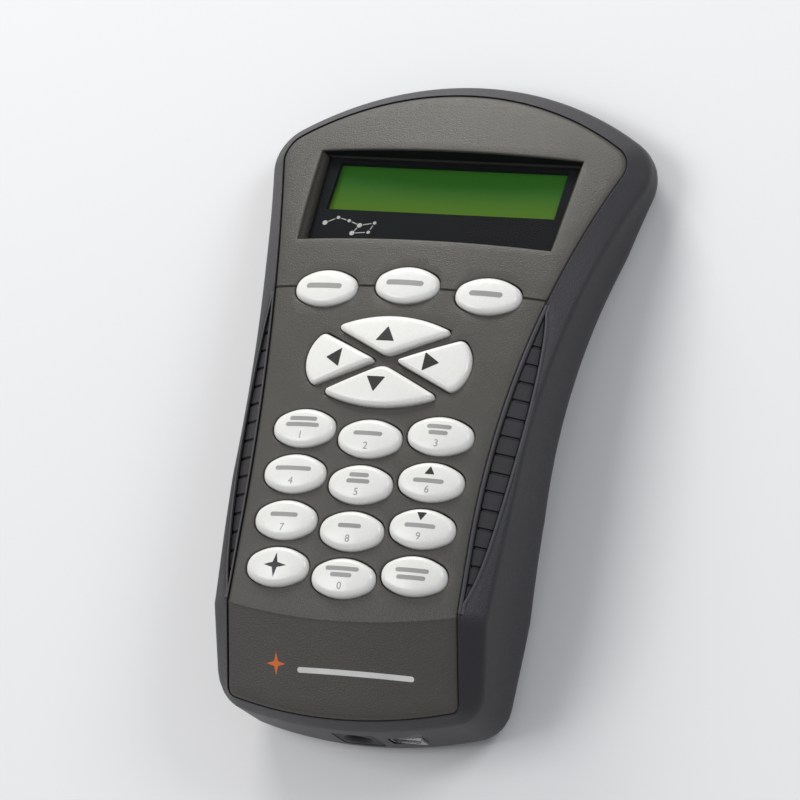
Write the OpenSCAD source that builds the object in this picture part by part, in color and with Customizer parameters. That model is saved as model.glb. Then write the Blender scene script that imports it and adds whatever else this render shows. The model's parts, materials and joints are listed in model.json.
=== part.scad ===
// Hand controller for a computerised telescope mount.
// It lies on its back: +Z is up through the keypad, +Y runs towards the display, +X is to the right.
// The origin is under the middle of the case, on the surface that the back rests on.

/* [Case] */
// Length of the case over both ends
case_len = 149.5; // [149:0.5:151]
// Height of the keypad's crest above the resting surface
crest_z = 33; // [33:0.25:35]
// Half of the case's width at the waist
waist_half = 33.5; // [33.3:0.1:34]
// Plan radius of the flare from the waist to the head
flare_r = 250; // [245:1:260]
// Drop of the bevel from the face to the side wall
bevel_drop = 4.5; // [4.2:0.1:4.8]
// Thickness of the case walls
wall = 2.2; // [2:0.1:2.3]
// Depth of the palm hollow in the back
palm_depth = 5; // [3:0.5:6]
// Length of the palm hollow
palm_len = 83; // [75:1:86]

/* [Face] */
// Half of the face's width at the waist
face_half = 26.8; // [26.6:0.1:27]
// Plan radius of the face's flare from the waist to the head
face_flare_r = 285; // [283:1:290]
// Lengthwise radius of the face
face_r = 294; // [290:1:300]
// Crosswise radius of the face
crown_r = 242; // [235:1:260]
// Slope of the lower panel
panel_tilt = 24.8; // [24:0.2:26]
// Crosswise radius of the lower panel
panel_r = 140; // [135:1:150]
// Thickness of the face
face_t = 2.4; // [2.2:0.1:2.5]

/* [Keys] */
// Pitch of the key columns
col_pitch = 16; // [15.8:0.1:16.2]
// Pitch of the key rows
row_pitch = 10.45; // [10.3:0.05:10.6]
// Length of an oval key
key_len = 15; // [14.6:0.1:15.2]
// Height of an oval key
key_h = 8.7; // [8.4:0.1:8.8]
// Gap between a key and its opening
key_gap = 0.25; // [0.2:0.05:0.3]
// Travel of a key
key_travel = 1; // [0.6:0.1:1]
// Length of the direction pad
pad_len = 38.8; // [38:0.1:39]
// Height of the direction pad
pad_h = 21.2; // [21:0.1:21.4]
// Gap between the direction keys
pad_gap = 2; // [1.8:0.1:2.2]

/* [Display] */
// Width of the display window at its lower edge
window_w = 58.3; // [58:0.1:58.6]
// Width of the display window at its upper edge
window_top_w = 60.6; // [60.2:0.1:60.8]
// Height of the display window
window_h = 23.6; // [23.2:0.1:23.8]
// Width of the lit area
lit_w = 54.4; // [52:0.1:55]
// Height of the lit area
lit_h = 12.3; // [12:0.1:12.6]

/* [Cord inlet] */
// Radius of the hole for the cord
inlet_r = 2.7; // [2:0.1:3]
// Length of the cord gland
gland_len = 9; // [8:0.5:10]

/* [Hidden] */
$fn = 64;
eps = 0.01;
tall = 60;

// ends of the case and of the face, along Y
top_y = case_len / 2;
end_y = -case_len / 2;
face_top_y = top_y - 3.5;
face_end_y = end_y + 1.45;

// lengthwise curve of the face
crest_y = -38.35;
crease_y = -54;
face_sweep = 28;

// plan outlines: [half width, Y of the waist, flare radius, top Y, top radius, head corner radius,
// half width at the end, end Y, end radius, end corner radius]
FACE = [face_half, -33.75, face_flare_r, face_top_y, 70.6, 6, face_half + 0.2, face_end_y, 96.6, 2];
CASE = [waist_half, -21.75, flare_r, top_y, 75, 10, waist_half - 2, end_y, 100, 8];

// keypad
row_y = -11.75;
middle_drop = 1.68;
ROWS = [["1", "2", "3"], ["4", "5", "6"], ["7", "8", "9"], ["option", "0", "speed"]];
top_key_x = 19.15;
top_key_y = 21.35;
enter_rise = 1.45;
pad_y = 4.5;
pad_cross = 25;
key_rise = 1.6;
key_dome_r = 30;
pad_rise = 2.1;
pad_dome_r = 90;
stem_r = 1.5;
stem_gap = key_travel + 0.25;
lug_clear = 0.4;
lug_t = 0.8;
lug_w = 0.6;
lug_half = 4;
cap_h = 12;
mat_t = 0.8;
ring_h = 1.2;

// main board: its frame is tilted to lie along the keypad
board_y = -12;
board_z = 22;
board_tilt = 5;
board_t = 1.6;
board_half = 22.8;
board_lo = -45;
board_hi = 42;
BOARD_SCREWS = [[-19, -40.7], [19, -40.7], [-10.5, 39.3], [10.5, 39.3]];

// display: its frame lies on top of the lens
lens_y = 44.33;
lens_z = 16.97;
lens_tilt = 16.4;
lens_t = 1;
lens_lap = 1.4;
window_flare = 26.6;
lit_v = 4.4;
DISPLAY_SCREWS = [[-25, -15.5], [25, -15.5], [-33.2, 5], [33.2, 5]];
display_board_w = -8.3;

// case screws and their bosses
head_screw = corner_centre(FACE);
CASE_SCREWS = [
    [head_screw[0], head_screw[1], 3.2, 6],
    [-head_screw[0], head_screw[1], 3.2, 6],
    [22, -62, 6, 14],
    [-22, -62, 6, 14],
];

// grips in the side bevels
grip_top_y = 20;
grip_end_y = -49;
grip_w = 5;
grip_sink = 0.3;
grip_t = 1.5;
grip_ribs = 14;
rib_pitch = 4.2;

// ports in the end wall
port_z = 11.2;
usb_x = 11.5;
port_board_z = port_z - 3.35;
port_board_t = 1.2;

DPAD = ["up", "down", "left", "right"];
GRID_KEYS = [
    for (r = [0:3], c = [0:2])
        [ROWS[r][c], (c - 1) * col_pitch, row_y - r * row_pitch - (c == 1 ? middle_drop : 0)]
];
TOP_KEYS = [
    ["align", -top_key_x, top_key_y],
    ["enter", 0, top_key_y + enter_rise],
    ["back", top_key_x, top_key_y],
];
OVAL_KEYS = concat(TOP_KEYS, GRID_KEYS);
PAD_STEMS = [[0, 6.5], [0, -6.5], [-12, 0], [12, 0]];
STEMS = concat(
    [for (k = OVAL_KEYS) [k[1], k[2]]],
    [for (s = PAD_STEMS) [s[0], pad_y + s[1]]]
);

// ---- outlines ----

// points of an arc round c, from angle a to angle b, without the last point
function arc(c, r, a, b, n) =
    [for (i = [0:n - 1]) c + r * [cos(a + (b - a) * i / n), sin(a + (b - a) * i / n)]];

// direction of p seen from q
function bearing(q, p) = atan2(p[1] - q[1], p[0] - q[0]);

// outline o drawn in by d
function inset(o, d) =
    [o[0] - d, o[1], o[2] + d, o[3] - d, o[4] - d, o[5] - d, o[6] - d, o[7] + d, o[8] - d,
     max(0.4, o[9] - d)];

// centre of the head's corner arc, which touches the end arc and the flare
function corner_centre(o) =
    let (
        t = [0, o[3] - o[4]],
        s = [o[0] + o[2], o[1]],
        rt = o[4] - o[5],
        rs = o[2] + o[5],
        gap = norm(s - t),
        along = (rt * rt - rs * rs + gap * gap) / (2 * gap),
        across = sqrt(rt * rt - along * along),
        dir = (s - t) / gap
    )
    t + along * dir + across * [-dir[1], dir[0]];

// right half of an outline, from the middle of the head to the middle of the end
function half_outline(o) =
    let (
        t = [0, o[3] - o[4]],
        c = corner_centre(o),
        s = [o[0] + o[2], o[1]],
        e = [0, o[7] + o[8]],
        corner_x = o[6] - o[9],
        corner_y = e[1] - sqrt(pow(o[8] - o[9], 2) - corner_x * corner_x),
        b = [corner_x, corner_y],
        waist = [o[0], o[1]],
        foot = [o[6], corner_y]
    )
    concat(
        arc(t, o[4], 90, bearing(t, c), 8),
        arc(c, o[5], bearing(t, c), bearing(c, s), 5),
        arc(s, o[2], bearing(s, c), 180, 14),
        [for (i = [0:5]) waist + (foot - waist) * i / 6],
        arc(b, o[9], 0, bearing(e, b), 4),
        arc(e, o[8], bearing(e, b), -90, 5),
        [[0, o[7]]]
    );

function outline(o) =
    let (h = half_outline(o), n = len(h))
    concat(h, [for (i = [n - 2:-1:1]) [-h[i][0], h[i][1]]]);

// ---- face ----

function crown(x, r) = r - sqrt(r * r - x * x);

function face_z(x, y) =
    min(
        crest_z - face_r + sqrt(pow(face_r - crown(x, crown_r), 2) - pow(max(0, y - crest_y), 2)),
        crest_z + (y - crease_y) * tan(panel_tilt) - crown(x, panel_r) / cos(panel_tilt)
    );

function face_normal(x, y) = [x / crown_r, max(0, y - crest_y) / face_r, 1];

module crown_section(drop) {
    intersection() {
        translate([face_r - crown_r, 0])
            circle(crown_r - drop, $fn = 180);
        translate([face_r - tall, -tall])
            square([2 * tall, 2 * tall]);
    }
}

// everything below the face, sunk by drop
module under_face(drop) {
    intersection() {
        translate([0, crest_y, crest_z - face_r])
            union() {
                rotate([0, -90, 0])
                    rotate_extrude(angle = face_sweep, $fn = 180)
                        crown_section(drop);
                rotate([90, 0, 0])
                    linear_extrude(tall)
                        rotate(90)
                            crown_section(drop);
            }
        translate([0, crease_y, crest_z])
            rotate([panel_tilt, 0, 0])
                translate([0, 0, -panel_r])
                    rotate([90, 0, 0])
                        cylinder(r = panel_r - drop, h = 8 * tall, center = true, $fn = 180);
    }
}

// a prism of outline o, drawn in by d, from height z up
module prism(o, d, z = 0) {
    translate([0, 0, z])
        linear_extrude(tall)
            polygon(outline(inset(o, d)));
}

// ---- frames and repeated shapes ----

module on_board() {
    translate([0, board_y, board_z])
        rotate([-board_tilt, 0, 0])
            children();
}

module on_lens() {
    translate([0, lens_y, lens_z])
        rotate([-lens_tilt, 0, 0])
            children();
}

// place of a face point in the main board's frame
function board_v(x, y) =
    (y - board_y) * cos(board_tilt) - (face_z(x, y) - board_z) * sin(board_tilt);
function board_w(x, y) =
    (y - board_y) * sin(board_tilt) + (face_z(x, y) - board_z) * cos(board_tilt);

// an oval of four arcs, with end radius e
module oval(length, height, e) {
    a = length / 2;
    b = height / 2;
    r = (pow(a - e, 2) + b * b - e * e) / (2 * (b - e));
    meet = (a - e) * r / (r - e);
    intersection() {
        translate([0, b - r])
            circle(r, $fn = 96);
        translate([0, r - b])
            circle(r, $fn = 96);
        square([2 * meet, height], center = true);
    }
    for (s = [-1, 1])
        translate([s * (a - e), 0])
            circle(e, $fn = 48);
}

module key_oval(grow = 0) {
    oval(key_len + 2 * grow, key_h + 2 * grow, 3.2 + grow);
}

// the quarter of the direction pad that a direction key fills
module pad_quarter(d, grow = 0) {
    half_gap = pad_gap / 2 - grow;
    reach = 2 * pad_len;
    wide = d == "left" || d == "right";
    half_angle = wide ? pad_cross : 90 - pad_cross;
    heading = d == "right" ? 0 : d == "up" ? 90 : d == "left" ? 180 : 270;
    tip = half_gap / sin(half_angle);
    intersection() {
        oval(pad_len + 2 * grow, pad_h + 2 * grow, 8 + grow);
        rotate(heading)
            polygon([
                [tip, 0],
                [tip + reach * cos(half_angle), -reach * sin(half_angle)],
                [tip + reach * cos(half_angle), reach * sin(half_angle)],
            ]);
    }
}

// a sphere whose top stands rise above the face at a point
module dome(x, y, rise, r) {
    n = face_normal(x, y) / norm(face_normal(x, y));
    translate([x, y, face_z(x, y)] + (rise - r) * n)
        sphere(r, $fn = 90);
}

// a square-cornered prism between two heights
module block(x0, x1, y0, y1, z0, z1) {
    translate([x0, y0, z0])
        cube([x1 - x0, y1 - y0, z1 - z0]);
}

// ---- case ----

// faces of a lofted body of rings, each with n points
function loft_faces(n, rings) =
    concat(
        [[for (i = [n - 1:-1:0]) i]],
        [
            for (k = [0:rings - 2], i = [0:n - 1], half = [0, 1])
                let (a = k * n + i, b = k * n + (i + 1) % n)
                half == 0 ? [a, b, b + n] : [a, b + n, a + n]
        ],
        [[for (i = [0:n - 1]) (rings - 1) * n + i]]
    );

function ring(o, d, z) = [for (p = outline(inset(o, d))) [p[0], p[1], z]];

// outer form of the case: rounded foot, side wall, bevel, and a block above the face
module case_form() {
    face_points = outline(FACE);
    case_points = outline(CASE);
    n = len(face_points);
    points = concat(
        ring(CASE, 6.5, 0),
        ring(CASE, 3.2, 0.9),
        ring(CASE, 1, 3.4),
        ring(CASE, 0, 6),
        [
            for (i = [0:n - 1])
                let (f = face_points[i], c = case_points[i])
                [c[0], c[1], face_z(f[0], f[1]) - bevel_drop]
        ],
        [for (f = face_points) [f[0], f[1], face_z(f[0], f[1])]],
        [for (f = face_points) [f[0], f[1], crest_z + 5]]
    );
    polyhedron(points, loft_faces(n, 7));
}

module palm_cut(grow = 0) {
    half = palm_len / 2;
    r = (half * half + palm_depth * palm_depth) / (2 * palm_depth);
    translate([0, -3.5, palm_depth - r])
        rotate([0, 90, 0])
            cylinder(r = r + grow, h = 4 * tall, center = true, $fn = 180);
}

// room inside the case: narrower over the rounded foot, and open upwards inside the face's edge
module case_cavity() {
    difference() {
        intersection() {
            union() {
                prism(CASE, 4.8, wall);
                prism(CASE, 2.6, 5.5);
            }
            union() {
                under_face(7.5);
                prism(FACE, 1.8, wall + 1);
            }
        }
        palm_cut(wall);
    }
}

module back_shell() {
    color("#2f2d33")
        difference() {
            union() {
                difference() {
                    case_form();
                    case_cavity();
                    difference() {
                        prism(FACE, -0.12, 3);
                        under_face(face_t + 0.2);
                    }
                }
                for (s = CASE_SCREWS)
                    translate([s[0], s[1], 0.5])
                        cylinder(r = 4, h = s[3] - 0.5);
            }
            palm_cut();
            for (s = CASE_SCREWS) {
                translate([s[0], s[1], -1])
                    cylinder(r = 2.8, h = s[2] + 1);
                translate([s[0], s[1], 0])
                    cylinder(r = 1.4, h = tall);
            }
            for (s = [-1, 1])
                grip_body(s, 0.12, 3);
            // gland opening, USB opening and the pocket of the rating plate
            block(-5, 5, end_y - 1, end_y + 4, port_z - 4.5, port_z + 4.5);
            block(usb_x - 4.1, usb_x + 4.1, end_y - 1, end_y + 4, port_z - 2.2, port_z + 2.2);
            block(-20.2, 20.2, 43.8, 62.2, -1, 0.5);
        }
}

module front_shell() {
    color("#5d594f")
        difference() {
            union() {
                difference() {
                    intersection() {
                        prism(FACE, 0);
                        under_face(0);
                    }
                    under_face(face_t);
                }
                front_lip();
                display_well();
                front_bosses();
            }
            on_lens()
                window_cut();
            for (k = OVAL_KEYS)
                on_board()
                    translate([k[1], board_v(k[1], k[2]), 2])
                        linear_extrude(tall)
                            key_oval(key_gap);
            on_board()
                translate([0, board_v(0, pad_y), 2])
                    linear_extrude(tall)
                        for (d = DPAD)
                            pad_quarter(d, key_gap);
            front_groove();
        }
}

// lip that drops inside the back shell
module front_lip() {
    difference() {
        intersection() {
            difference() {
                prism(FACE, 2);
                prism(FACE, 3.4);
            }
            under_face(1);
        }
        under_face(4.5);
    }
}

// walls that carry the lens below the face
module display_well() {
    intersection() {
        on_lens()
            block(-window_top_w / 2 - 3.4, window_top_w / 2 + 3.4, -15, 15, -lens_t - 1, 10);
        prism(FACE, 2);
        under_face(1);
    }
}

module window_shape(grow = 0) {
    h = window_h / 2 + grow;
    polygon([
        [-window_w / 2 - grow, -h],
        [window_w / 2 + grow, -h],
        [window_top_w / 2 + grow, h],
        [-window_top_w / 2 - grow, h],
    ]);
}

// everything inside the right side wall of the window, which flares outwards
module inside_wall() {
    translate([(window_w + window_top_w) / 4, 0, 0])
        rotate(-atan((window_top_w - window_w) / 2 / window_h))
            rotate([0, window_flare, 0])
                block(-2 * tall, 0, -tall, tall, -tall, tall);
}

// opening of the window, and the seat of the lens below it
module window_cut() {
    intersection() {
        block(-tall, tall, -window_h / 2, window_h / 2, -eps, 6);
        inside_wall();
        mirror([1, 0, 0])
            inside_wall();
    }
    translate([0, 0, -8])
        linear_extrude(8)
            window_shape(lens_lap + 0.1);
}

// fine line across the face, through the upper keys
module front_groove() {
    r = 586;
    y = 22.4 - r;
    difference() {
        translate([0, y, 0])
            difference() {
                cylinder(r = r + 0.25, h = tall, $fn = 720);
                translate([0, 0, -1])
                    cylinder(r = r - 0.25, h = tall + 2, $fn = 720);
            }
        under_face(0.4);
        block(-2 * r, 2 * r, y - 2 * r, 0, -1, tall + 1);
    }
}

module front_bosses() {
    intersection() {
        union() {
            for (s = CASE_SCREWS)
                translate([s[0], s[1], s[3] + 0.1])
                    difference() {
                        cylinder(r = 3, h = tall);
                        translate([0, 0, -1])
                            cylinder(r = 1.15, h = 7);
                    }
            for (s = BOARD_SCREWS)
                on_board()
                    translate([s[0], s[1], 0.05])
                        difference() {
                            cylinder(r = 1.9, h = 20);
                            translate([0, 0, -1])
                                cylinder(r = 0.9, h = 5.5);
                        }
            for (s = DISPLAY_SCREWS)
                on_lens()
                    translate([s[0], s[1], display_board_w + board_t + 0.05])
                        difference() {
                            cylinder(r = 2, h = 20);
                            translate([0, 0, -1])
                                cylinder(r = 0.9, h = 5);
                        }
        }
        under_face(1);
    }
}

// ---- grips ----

// half width of an outline on its flare or below it
function half_at(o, y) =
    y > o[1] ? o[0] + o[2] - sqrt(o[2] * o[2] - pow(y - o[1], 2))
             : o[0] + (o[6] - o[0]) * (o[1] - y) / (o[1] - o[7]);

// height of the bevel at a distance from the face's edge
function bevel_z(y, out) =
    let (f = half_at(FACE, y), c = half_at(CASE, y))
    face_z(f, y) - bevel_drop * out / (c - f);

function grip_width(y) =
    let (mid = (grip_top_y + grip_end_y) / 2, half = (grip_top_y - grip_end_y) / 2)
    grip_w * pow(max(0, 1 - pow((y - mid) / half, 2)), 0.75);

// a leaf-shaped bar along the bevel, grown by grow, rising by up out of its place
module grip_body(side, grow, up) {
    steps = 24;
    n = 4;
    top = grip_top_y + grow;
    end = grip_end_y - grow;
    rows = [
        for (j = [0:steps])
            let (
                y = top + (end - top) * j / steps,
                near = 0.15 - grow,
                far = 0.15 + max(0.15, grip_width(y)) + grow,
                edge = half_at(FACE, y)
            )
            [
                [side * (edge + near), y, bevel_z(y, near) - grip_sink - grip_t - grow],
                [side * (edge + far), y, bevel_z(y, far) - grip_sink - grip_t - grow],
                [side * (edge + far), y, bevel_z(y, far) - grip_sink + up],
                [side * (edge + near), y, bevel_z(y, near) - grip_sink + up],
            ]
    ];
    points = [for (row = rows) for (p = row) p];
    faces = loft_faces(n, steps + 1);
    polyhedron(points, side > 0 ? [for (f = faces) [for (i = [len(f) - 1:-1:0]) f[i]]] : faces);
}

module grip(side) {
    color("#232226")
        difference() {
            grip_body(side, 0, 0);
            for (i = [0:grip_ribs - 1]) {
                y = 11 - i * rib_pitch;
                z = bevel_z(y, 2.5);
                x = half_at(FACE, y);
                translate([side * (x + 2.5), y, z])
                    rotate([0, side * 34, 0])
                        block(-6, 6, -0.4, 0.4, -1, 3);
            }
        }
}

module left_grip() {
    grip(-1);
}

module right_grip() {
    grip(1);
}

// ---- display ----

module display_lens() {
    color("#a8b4b8", 0.4)
        on_lens()
            translate([0, 0, -lens_t])
                linear_extrude(lens_t - 0.05)
                    window_shape(lens_lap);
}

module display_frame() {
    color("#101214")
        on_lens()
            translate([0, 0, -2.2])
                linear_extrude(1.15)
                    difference() {
                        window_shape(lens_lap);
                        translate([0, lit_v])
                            square([lit_w, lit_h], center = true);
                    }
}

module display_glass() {
    color("#3f7d1e")
        on_lens()
            block(-29, 29, lit_v - 8.6, lit_v + 8.6, -4.2, -2.3);
}

module display_light() {
    color("#dfe8d8")
        on_lens()
            block(-28, 28, lit_v - 8, lit_v + 8, -6.6, -4.3);
}

module display_board() {
    color("#1f5c38")
        on_lens()
            translate([0, 0, display_board_w])
                linear_extrude(board_t)
                    difference() {
                        polygon([
                            [-27.6, -17.8], [27.6, -17.8], [35.6, 1.5], [35.6, 8], [30, 8], [30, 12.6],
                            [-30, 12.6], [-30, 8], [-35.6, 8], [-35.6, 1.5],
                        ]);
                        for (s = DISPLAY_SCREWS)
                            translate(s)
                                circle(1.1);
                    }
}

module display_chips() {
    color("#141414")
        on_lens()
            for (x = [-15, 9])
                translate([x, 3, display_board_w - 1.2])
                    linear_extrude(1.15)
                        oval(9, 7.6, 3.4);
}

module display_screws() {
    for (s = DISPLAY_SCREWS)
        on_lens()
            translate([s[0], s[1], display_board_w])
                screw(1.9, 1.1, 0.85, 5);
}

// a screw that enters upwards, with its head's seat at height 0
module screw(head_r, head_h, shank_r, length) {
    color("#b9bcc0")
        difference() {
            union() {
                translate([0, 0, -head_h])
                    cylinder(r = head_r, h = head_h);
                cylinder(r = shank_r, h = length);
            }
            for (a = [0, 90])
                rotate(a)
                    block(-head_r * 0.6, head_r * 0.6, -0.25, 0.25, -head_h - 1, -head_h * 0.45);
        }
}

// ---- boards ----

module main_board() {
    color("#1f5c38")
        on_board()
            translate([0, 0, -board_t])
                linear_extrude(board_t)
                    difference() {
                        translate([-board_half, board_lo])
                            square([2 * board_half, board_hi - board_lo]);
                        for (s = BOARD_SCREWS)
                            translate(s)
                                circle(1.1);
                    }
}

module board_chips() {
    color("#17181a")
        on_board() {
            block(-6, 6, -8, 4, -board_t - 1.4, -board_t);
            block(-17, -9, 8, 14, -board_t - 1.5, -board_t);
            block(9, 14, 10, 15, -board_t - 1.1, -board_t);
            block(-16, -11, -26, -21, -board_t - 1.2, -board_t);
        }
}

module board_parts() {
    color("#c9a24a")
        on_board() {
            block(9, 13.5, -10, 1, -board_t - 3.4, -board_t);
            for (y = [-34, -26])
                translate([14, y, -board_t - 5.5])
                    cylinder(r = 2.5, h = 5.5);
            for (x = [-12:4:4])
                block(x, x + 1.6, -17, -14, -board_t - 0.9, -board_t);
        }
}

module board_screws() {
    for (s = BOARD_SCREWS)
        on_board()
            translate([s[0], s[1], -board_t])
                screw(1.9, 1.1, 0.85, 4.4);
}

// small lights between the keys, standing in windows of the keypad mat
LIGHTS = [for (x = [-8, 8], v = [-28, -17.5, -7, 26]) [x, v]];

module key_lights() {
    color("#e8e2d0")
        on_board()
            for (p = LIGHTS)
                block(p[0] - 0.8, p[0] + 0.8, p[1] - 0.4, p[1] + 0.4, 0, 0.7);
}

module contact_pads() {
    color("#c8a23c")
        for (s = STEMS)
            on_board()
                translate([s[0], board_v(s[0], s[1]), 0])
                    cylinder(r = 1.8, h = 0.08);
}

module keypad_mat() {
    color("#b8bcc0")
        on_board()
            difference() {
                union() {
                    block(-22.2, 22.2, -37.6, 36.5, 0, mat_t);
                    for (s = STEMS)
                        translate([s[0], board_v(s[0], s[1]), 0])
                            cylinder(r = 3.1, h = ring_h);
                }
                for (s = STEMS)
                    translate([s[0], board_v(s[0], s[1]), -1])
                        cylinder(r = 2.1, h = 5);
                for (p = LIGHTS)
                    block(p[0] - 1.2, p[0] + 1.2, p[1] - 0.8, p[1] + 0.8, -1, 3);
            }
}

// unit normal of a polyline at point i
function normal_at(line, i) =
    let (
        ahead = line[min(i + 1, len(line) - 1)] - line[max(i - 1, 0)],
        d = ahead / norm(ahead)
    )
    [-d[1], d[0]];

// flat cable from the main board to the display board, round its lower edge
module ribbon_cable() {
    half_t = 0.15;
    path = [
        [22.5, 16.3], [23.3, 16.1], [23.85, 15.5], [24.05, 14.6], [24.1, 13.6], [24.4, 12.7],
        [25.2, 12.05], [26.6, 11.75], [28.4, 11.6], [30, 11.5],
    ];
    n = len(path);
    color("#8f9398")
        rotate([90, 0, 90])
            linear_extrude(14, center = true)
                polygon(concat(
                    [for (i = [0:n - 1]) path[i] + half_t * normal_at(path, i)],
                    [for (i = [n - 1:-1:0]) path[i] - half_t * normal_at(path, i)]
                ));
}

module ribbon_sockets() {
    color("#e9e6dc") {
        on_board()
            block(-8, 8, 31, 34.8, -board_t - 2.2, -board_t);
        on_lens()
            block(-8, 8, -12, -8.2, display_board_w - 2.2, display_board_w);
    }
}

// ---- ports ----

module port_board() {
    color("#1f5c38")
        block(7, 16.8, -70.3, -54.5, port_board_z, port_board_z + port_board_t);
}

module header_pins() {
    color("#c8a23c")
        for (x = [8.5:1.7:15.4])
            block(x - 0.3, x + 0.3, -56.3, -55.7, port_board_z + port_board_t, 24.15);
}

module usb_socket() {
    color("#c4c8cc")
        difference() {
            block(usb_x - 3.85, usb_x + 3.85, end_y + 0.6, end_y + 9.6, port_z - 2, port_z + 2);
            difference() {
                block(usb_x - 3.45, usb_x + 3.45, end_y, end_y + 7, port_z - 1.6, port_z + 1.6);
                block(usb_x - 2.4, usb_x + 2.4, end_y + 2, end_y + 8, port_z - 0.9, port_z);
            }
        }
}

module cord_header() {
    color("#e9e6dc")
        on_board()
            block(-6, 6, -44, -39, -board_t - 6, -board_t);
}

// rubber gland with a flange behind the end wall
module cord_gland() {
    color("#1b1b1d")
        difference() {
            union() {
                block(-4.9, 4.9, end_y + 0.15, end_y + 0.15 + gland_len, port_z - 4.4, port_z + 4.4);
                block(-5.9, 5.9, end_y + 2.95, end_y + 4.55, port_z - 5, port_z + 5);
            }
            translate([0, end_y - 1, port_z])
                rotate([-90, 0, 0])
                    cylinder(r = inlet_r, h = gland_len + 4);
        }
}

// ---- screws and plate ----

module case_screws() {
    for (s = CASE_SCREWS)
        translate([s[0], s[1], s[2]])
            screw(2.5, 1.6, 1.1, s[3] - s[2] + 4);
}

module rating_plate() {
    color("#b4b6b8")
        block(-20, 20, 44, 62, 0.12, 0.5);
}

// ---- keys ----

// height over the main board of the top of a key's lugs, clear of the face above their corners
function lug_level(x, y, half_x, half_y) =
    min([for (i = [-1, 1], j = [-1, 1]) board_w(x + i * half_x, y + j * half_y)])
    - face_t - lug_clear;

// a stem that reaches down to the main board, from the top of the lugs
module key_stem(x, v, top) {
    translate([x, v, stem_gap])
        cylinder(r = stem_r, h = top - stem_gap);
}

module oval_key(k) {
    x = k[1];
    y = k[2];
    reach = key_h / 2 + lug_w;
    top = lug_level(x, y, lug_half, reach);
    color("#e4e4de") {
        intersection() {
            on_board()
                translate([x, board_v(x, y), top - lug_t])
                    linear_extrude(cap_h)
                        key_oval();
            dome(x, y, key_rise, key_dome_r);
        }
        on_board() {
            translate([x, board_v(x, y), top - lug_t])
                block(-lug_half, lug_half, -reach, reach, 0, lug_t);
            key_stem(x, board_v(x, y), top);
        }
    }
}

module pad_key(i) {
    stem = PAD_STEMS[i];
    upright = i < 2;
    out = upright ? [0, sign(stem[1])] : [sign(stem[0]), 0];
    reach = upright ? pad_h / 2 : pad_len / 2;
    half = upright ? [7, 1.5] : [1.5, 4];
    lug = out * (reach + lug_w - 1.5);
    top = lug_level(lug[0], pad_y + lug[1], half[0], half[1]);
    middle_v = board_v(0, pad_y);
    color("#e4e4de") {
        intersection() {
            on_board()
                translate([0, middle_v, top - lug_t])
                    linear_extrude(cap_h)
                        pad_quarter(DPAD[i]);
            dome(0, pad_y, pad_rise, pad_dome_r);
        }
        on_board() {
            translate([lug[0], middle_v + lug[1], top - lug_t])
                block(-half[0], half[0], -half[1], half[1], 0, lug_t);
            key_stem(stem[0], board_v(stem[0], pad_y + stem[1]), top);
        }
    }
}

// ---- nodes ----

front_shell();
back_shell();
left_grip();
right_grip();
display_lens();
display_frame();
display_glass();
display_light();
display_board();
display_chips();
display_screws();
ribbon_cable();
ribbon_sockets();
main_board();
board_chips();
board_parts();
board_screws();
key_lights();
contact_pads();
keypad_mat();
port_board();
header_pins();
usb_socket();
cord_header();
cord_gland();
case_screws();
rating_plate();
for (k = OVAL_KEYS)
    oval_key(k);
for (i = [0:3])
    pad_key(i);
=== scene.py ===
import json
import math
from collections import Counter

import bmesh
import bpy
import numpy as np
from mathutils import Matrix, Vector
from mathutils.geometry import delaunay_2d_cdt


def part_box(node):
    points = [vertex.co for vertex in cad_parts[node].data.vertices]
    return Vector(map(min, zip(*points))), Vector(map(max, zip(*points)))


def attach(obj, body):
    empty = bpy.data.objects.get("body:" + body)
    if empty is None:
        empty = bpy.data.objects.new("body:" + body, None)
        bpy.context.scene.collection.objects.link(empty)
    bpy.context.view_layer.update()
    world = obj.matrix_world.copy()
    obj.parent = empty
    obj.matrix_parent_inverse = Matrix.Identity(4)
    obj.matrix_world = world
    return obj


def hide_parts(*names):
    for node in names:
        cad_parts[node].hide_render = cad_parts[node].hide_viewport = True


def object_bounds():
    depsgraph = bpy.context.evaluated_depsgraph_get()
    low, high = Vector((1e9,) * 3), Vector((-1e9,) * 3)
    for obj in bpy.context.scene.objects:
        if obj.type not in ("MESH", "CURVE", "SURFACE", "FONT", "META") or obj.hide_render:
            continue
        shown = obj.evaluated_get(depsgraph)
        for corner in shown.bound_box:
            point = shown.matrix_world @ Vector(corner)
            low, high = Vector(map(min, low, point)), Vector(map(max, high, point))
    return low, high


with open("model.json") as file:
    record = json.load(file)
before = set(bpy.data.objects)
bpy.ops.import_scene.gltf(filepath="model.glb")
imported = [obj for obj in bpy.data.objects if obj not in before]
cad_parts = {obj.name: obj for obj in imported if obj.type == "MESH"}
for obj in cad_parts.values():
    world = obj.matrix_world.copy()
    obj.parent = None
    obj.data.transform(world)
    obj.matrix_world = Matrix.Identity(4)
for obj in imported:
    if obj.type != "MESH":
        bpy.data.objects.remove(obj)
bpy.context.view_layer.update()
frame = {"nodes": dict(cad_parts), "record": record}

# Lengths below are in millimetres, in the CAD's frame, and become metres when a mesh is made.
MM = 0.001
case_low, case_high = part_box("back_shell")
TOP_Y = case_high[1] / MM
END_Y = case_low[1] / MM

# ---- the object's own sizes ----

# plan outlines: half width at the waist, Y of the waist, flare radius, top Y, top radius, head corner
# radius, half width at the end, end Y, end radius, end corner radius
FACE = [26.8, -33.75, 285, TOP_Y - 3.5, 70.6, 6, 27, END_Y + 1.45, 96.6, 2]
CASE = [33.5, -21.75, 250, TOP_Y, 75, 10, 31.5, END_Y, 100, 8]
FINE = 3

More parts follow.
